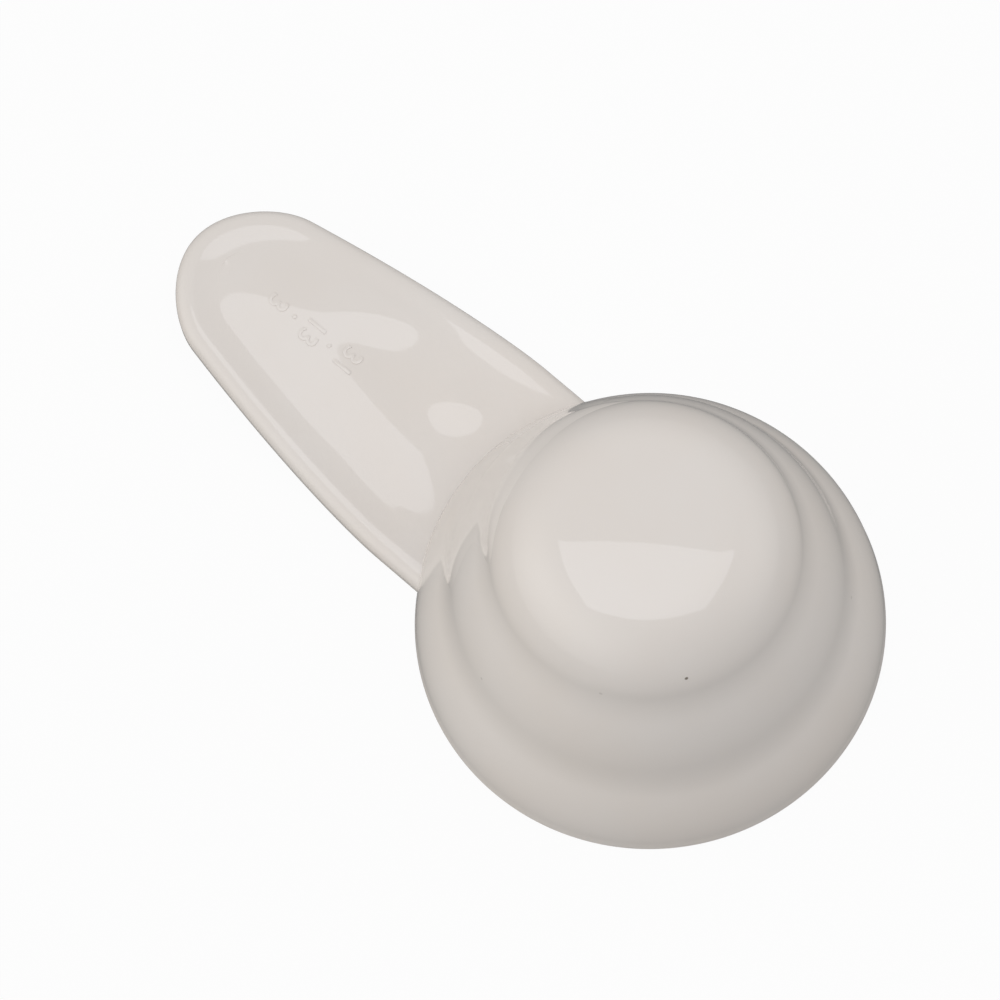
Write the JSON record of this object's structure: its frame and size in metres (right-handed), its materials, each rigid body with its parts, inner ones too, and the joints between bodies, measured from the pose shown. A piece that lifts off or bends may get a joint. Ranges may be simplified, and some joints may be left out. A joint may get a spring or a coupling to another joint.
{
  "type": "coffee measuring spoon",
  "caption": "Moulded plastic coffee scoop with a stepped round bowl and a broad, tapering, rimmed handle, resting mouth down on its rim.",
  "frame": {"origin": "centre of the bowl's mouth, on the plane of the mouth's rim", "axes": "+Z along the bowl's axis from the mouth to the closed end, -X along the handle to its tip, +Y across"},
  "size_m": [0.0902, 0.05, 0.0321],
  "materials": {
    "ivory_plastic": "glossy warm-white injection-moulded plastic"
  },
  "bodies": {
    "root": {"mouth_lip": "ivory_plastic", "mouth_tier": "ivory_plastic", "middle_tier": "ivory_plastic", "bowl_crown": "ivory_plastic", "root_web": "ivory_plastic", "handle_panel": "ivory_plastic", "handle_border": "ivory_plastic"}
  },
  "joints": []
}
